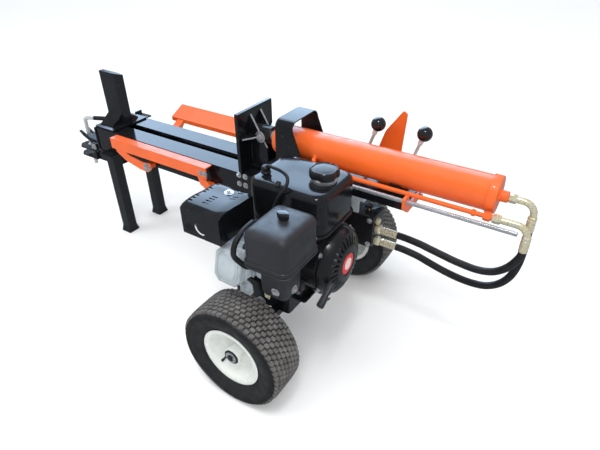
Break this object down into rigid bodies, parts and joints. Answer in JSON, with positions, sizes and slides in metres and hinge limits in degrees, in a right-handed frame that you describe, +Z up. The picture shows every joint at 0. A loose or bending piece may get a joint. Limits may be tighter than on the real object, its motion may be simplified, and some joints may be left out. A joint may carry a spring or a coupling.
{
  "type": "log splitter",
  "caption": "Towable petrol-driven hydraulic log splitter: slotted beam with fixed wedge, sliding pusher and ram, wheels, front legs, hitch, engine, pump and hand levers.",
  "frame": {"origin": "bottom centre of the box round everything but the two free hoses, on the ground", "axes": "+X along the beam from the hitch to the rear end of the cylinder, +Y away from the engine, +Z up"},
  "size_m": [1.85, 0.788, 0.6901],
  "materials": {
    "orange_paint": "glossy bright orange enamel",
    "black_paint": "glossy black enamel",
    "engine_black": "satin black paint on castings and pressed steel",
    "black_plastic": "fine grained dark grey plastic",
    "tyre_rubber": "matt tyre rubber",
    "hose_rubber": "matt black hose cover",
    "rim_paint": "cream white enamel",
    "steel": "bright machined steel",
    "chrome": "hard chrome plate",
    "aluminium": "die cast aluminium",
    "zinc": "yellow zinc plate",
    "knob_black": "gloss black moulded knob on a plated stem"
  },
  "bodies": {
    "frame": {"beam_channel_near": "black_paint", "beam_channel_far": "black_paint", "wedge": "black_paint", "leg_near": "black_paint", "leg_far": "black_paint", "axle_frame": "black_paint", "cylinder_support": "black_paint", "cylinder_barrel": "orange_paint", "cylinder_gland": "orange_paint", "cylinder_guard": "black_paint", "rod_guide_bracket": "orange_paint", "hard_pipe": "orange_paint", "elbow_rear": "zinc", "elbow_pipe": "zinc", "valve_body": "engine_black", "hose_end_upper": "zinc", "hose_end_lower": "zinc", "hose_upper": "hose_rubber", "hose_lower": "hose_rubber", "valve_bracket": "aluminium", "lever_bracket": "black_paint", "lever_fin": "orange_paint", "log_tray_near": "orange_paint", "log_tray_far": "orange_paint", "hitch_clevis": "black_paint", "hydraulic_tank": "black_paint", "pump": "engine_black", "crankcase": "engine_black", "fan_housing": "engine_black", "recoil_cover": "engine_black", "cylinder_head": "aluminium", "valve_cover": "aluminium", "muffler_shield": "black_paint", "muffler": "steel", "fuel_tank": "black_paint", "vent_hose": "hose_rubber", "air_filter_cover": "black_plastic", "air_filter_base": "black_plastic"},
    "ram": {"piston_rod": "chrome", "pusher_plate": "black_paint", "pusher_guide": "steel"},
    "wheel_near": {"tyre_near": "tyre_rubber", "rim_near": "rim_paint"},
    "wheel_far": {"tyre_far": "tyre_rubber", "rim_far": "rim_paint"},
    "stop_rod": {"stop_rod": "steel"},
    "control_lever_left": {"control_lever_left": "knob_black"},
    "control_lever_right": {"control_lever_right": "knob_black"},
    "valve_spool": {"valve_spool": "steel"},
    "hitch_pin": {"hitch_pin": "chrome"},
    "hitch_latch": {"hitch_latch": "black_paint"},
    "flywheel": {"flywheel": "steel"},
    "fuel_cap": {"fuel_cap": "black_paint"},
    "tank_filler_cap": {"tank_filler_cap": "black_paint"},
    "oil_dipstick": {"oil_dipstick": "black_plastic"},
    "filter_knob": {"filter_knob": "black_plastic"},
    "recoil_handle": {"recoil_handle": "black_plastic"},
    "throttle_lever": {"throttle_lever": "steel"},
    "choke_lever": {"choke_lever": "steel"},
    "stop_switch": {"stop_switch": "black_plastic"}
  },
  "joints": [
    {"name": "ram_stroke", "type": "slide", "parent": "frame", "child": "ram", "axis": [-1, 0, 0], "range_m": [0, 0.575]},
    {"name": "wheel_near_spin", "type": "hinge", "parent": "frame", "child": "wheel_near", "pos_m": [0.321, -0.332, 0.1625], "axis": [0, 1, 0], "continuous": true},
    {"name": "wheel_far_spin", "type": "hinge", "parent": "frame", "child": "wheel_far", "pos_m": [0.321, 0.332, 0.1625], "axis": [0, 1, 0], "continuous": true},
    {"name": "stop_rod_slide", "type": "slide", "parent": "frame", "child": "stop_rod", "axis": [-1, 0, 0], "range_m": [0, 0.03]},
    {"name": "lever_left_swing", "type": "hinge", "parent": "frame", "child": "control_lever_left", "pos_m": [0.383, 0.24, 0.504], "axis": [0, 1, 0], "range_deg": [-15, 15], "stiffness_Nm_per_rad": 10},
    {"name": "lever_right_swing", "type": "hinge", "parent": "frame", "child": "control_lever_right", "pos_m": [0.529, 0.24, 0.504], "axis": [0, 1, 0], "range_deg": [-15, 15], "stiffness_Nm_per_rad": 10},
    {"name": "spool_slide", "type": "slide", "parent": "frame", "child": "valve_spool", "axis": [0, 1, 0], "range_m": [-0.005, 0.005]},
    {"name": "hitch_pin_lift", "type": "slide", "parent": "frame", "child": "hitch_pin", "axis": [0, 0, 1], "range_m": [0, 0.062]},
    {"name": "hitch_latch_swing", "type": "hinge", "parent": "frame", "child": "hitch_latch", "pos_m": [-0.803, 0.138, 0.327], "axis": [0, 1, 0], "range_deg": [0, 28]},
    {"name": "crankshaft_spin", "type": "hinge", "parent": "frame", "child": "flywheel", "pos_m": [0.421, -0.079, 0.37], "axis": [1, 0, 0], "continuous": true},
    {"name": "fuel_cap_turn", "type": "hinge", "parent": "frame", "child": "fuel_cap", "pos_m": [0.427, -0.07, 0.605], "axis": [0, 0, 1], "range_deg": [0, 90]},
    {"name": "filler_cap_turn", "type": "hinge", "parent": "frame", "child": "tank_filler_cap", "pos_m": [0.199, 0.008, 0.261], "axis": [0, 0, 1], "range_deg": [0, 360]},
    {"name": "dipstick_turn", "type": "hinge", "parent": "frame", "child": "oil_dipstick", "pos_m": [0.387, -0.163, 0.296], "axis": [0, -1, 0], "range_deg": [0, 360]},
    {"name": "filter_knob_turn", "type": "hinge", "parent": "frame", "child": "filter_knob", "pos_m": [0.431, -0.264, 0.59], "axis": [0, 0, 1], "range_deg": [0, 360]},
    {"name": "recoil_pull", "type": "slide", "parent": "frame", "child": "recoil_handle", "axis": [0, -0.4787, 0.878], "range_m": [0, 0.5], "stiffness_N_per_m": 20, "springref_m": -0.15},
    {"name": "throttle_swing", "type": "hinge", "parent": "frame", "child": "throttle_lever", "pos_m": [0.445, -0.173, 0.452], "axis": [0, 1, 0], "range_deg": [-25, 25]},
    {"name": "choke_swing", "type": "hinge", "parent": "frame", "child": "choke_lever", "pos_m": [0.367, -0.291, 0.44], "axis": [0, 1, 0], "range_deg": [-45, 0]},
    {"name": "stop_switch_turn", "type": "hinge", "parent": "frame", "child": "stop_switch", "pos_m": [0.429, -0.193, 0.336], "axis": [0, 1, 0], "range_deg": [0, 60]}
  ],
  "couplings": [
    {"joint": "spool_slide", "follows": "lever_right_swing", "m_per_rad": 0.018}
  ]
}
